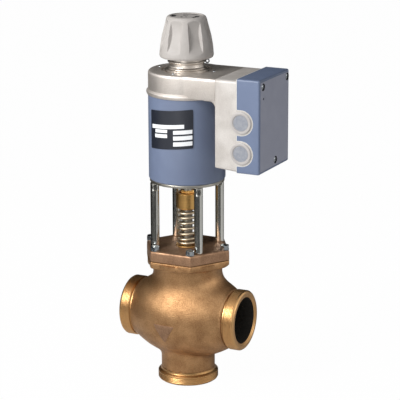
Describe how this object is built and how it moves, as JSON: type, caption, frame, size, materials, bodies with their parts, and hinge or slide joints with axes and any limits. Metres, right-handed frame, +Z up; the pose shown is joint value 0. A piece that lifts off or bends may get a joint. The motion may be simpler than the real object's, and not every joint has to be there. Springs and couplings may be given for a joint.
{
  "type": "modulating solenoid valve",
  "caption": "Three-way bronze mixing valve with threaded ports, pillar-mounted magnetic actuator, return spring, handwheel and side terminal housing.",
  "frame": {"origin": "centre of the lower port's face", "axes": "+Z up the stem, +X through the outlet port, towards the terminal housing"},
  "size_m": [0.155, 0.088, 0.3643],
  "materials": {
    "cast_bronze": "as-cast bronze with machined pipe threads",
    "dark_bronze": "dull cast bronze",
    "brass": "turned brass",
    "stainless": "turned stainless steel",
    "spring_steel": "drawn spring wire",
    "zinc_plate": "bright zinc plate",
    "soft_iron": "machined magnet iron",
    "soft_seal": "filled seal plastic",
    "dark_fibre": "pressed gasket sheet",
    "bobbin_plastic": "glass-filled plastic",
    "copper_wire": "enamelled copper winding",
    "blue_paint": "satin blue paint",
    "black_label": "printed label with blank fields",
    "cast_aluminium": "bead-blasted die casting",
    "light_casting": "bead-blasted die casting",
    "grey_plastic": "satin moulded plastic",
    "blue_plastic": "satin moulded plastic",
    "board_green": "coated circuit board",
    "terminal_plastic": "moulded plastic",
    "lead_insulation": "wire insulation",
    "light_seal": "foamed seal",
    "clear_plug": "translucent moulded plastic",
    "dark_lens": "smoked lens"
  },
  "bodies": {
    "housing": {"valve_body": "cast_bronze", "inlet_collar": "cast_bronze", "outlet_collar": "cast_bronze", "bypass_collar": "cast_bronze", "upper_seat_ring": "stainless", "lower_seat_ring": "stainless", "bonnet": "dark_bronze", "bonnet_gasket": "dark_fibre", "bonnet_bolts": "zinc_plate", "guide_bush": "brass", "stem_seal": "soft_seal", "gland_bush": "brass", "spring_seat": "brass", "pillars": "zinc_plate", "magnet_plate": "soft_iron", "fixed_core": "soft_iron", "guide_tube": "stainless", "coil_bobbin": "bobbin_plastic", "coil_winding": "copper_wire", "upper_yoke": "soft_iron", "magnet_shell": "blue_paint", "nameplate": "black_label", "top_cap": "cast_aluminium", "cap_rivets": "zinc_plate", "handwheel_neck": "cast_aluminium", "seal_eyelet": "zinc_plate", "neck_ring": "soft_iron", "press_spring": "spring_steel", "electronics_base": "light_casting", "base_screws": "zinc_plate", "board_standoffs": "brass", "circuit_board": "board_green", "terminal_blocks": "terminal_plastic", "coil_leads": "lead_insulation", "cover_seal": "light_seal", "terminal_cover": "blue_plastic", "cover_screws": "zinc_plate", "status_led": "dark_lens", "upper_cable_plug": "clear_plug", "lower_cable_plug": "clear_plug", "return_spring": "spring_steel"},
    "stem_set": {"valve_stem": "stainless", "valve_plug": "brass", "upper_plug_seal": "soft_seal", "lower_plug_seal": "soft_seal", "spring_retainer": "brass", "lock_nut": "brass", "armature": "soft_iron"},
    "press_sleeve": {"press_sleeve": "brass", "sleeve_clip": "soft_iron"},
    "handwheel": {"handwheel": "grey_plastic", "handwheel_nut": "brass", "handwheel_cap": "grey_plastic"},
    "thrust_spindle": {"thrust_spindle": "stainless"}
  },
  "joints": [
    {"name": "stem_stroke", "type": "slide", "parent": "housing", "child": "stem_set", "axis": [0, 0, -1], "range_m": [0, 0.008], "stiffness_N_per_m": 3000, "springref_m": -0.01, "deforming": ["return_spring"]},
    {"name": "handwheel_press", "type": "slide", "parent": "housing", "child": "press_sleeve", "axis": [0, 0, -1], "range_m": [0, 0.0025], "stiffness_N_per_m": 1500, "springref_m": -0.003, "deforming": ["press_spring"]},
    {"name": "handwheel_turn", "type": "hinge", "parent": "press_sleeve", "child": "handwheel", "pos_m": [0, 0, 0.345], "axis": [0, 0, -1], "range_deg": [-60, 540]},
    {"name": "spindle_feed", "type": "slide", "parent": "press_sleeve", "child": "thrust_spindle", "axis": [0, 0, -1], "range_m": [-0.0007, 0.00605]}
  ],
  "couplings": [
    {"joint": "spindle_feed", "follows": "handwheel_turn", "m_per_rad": 0.0006366}
  ]
}
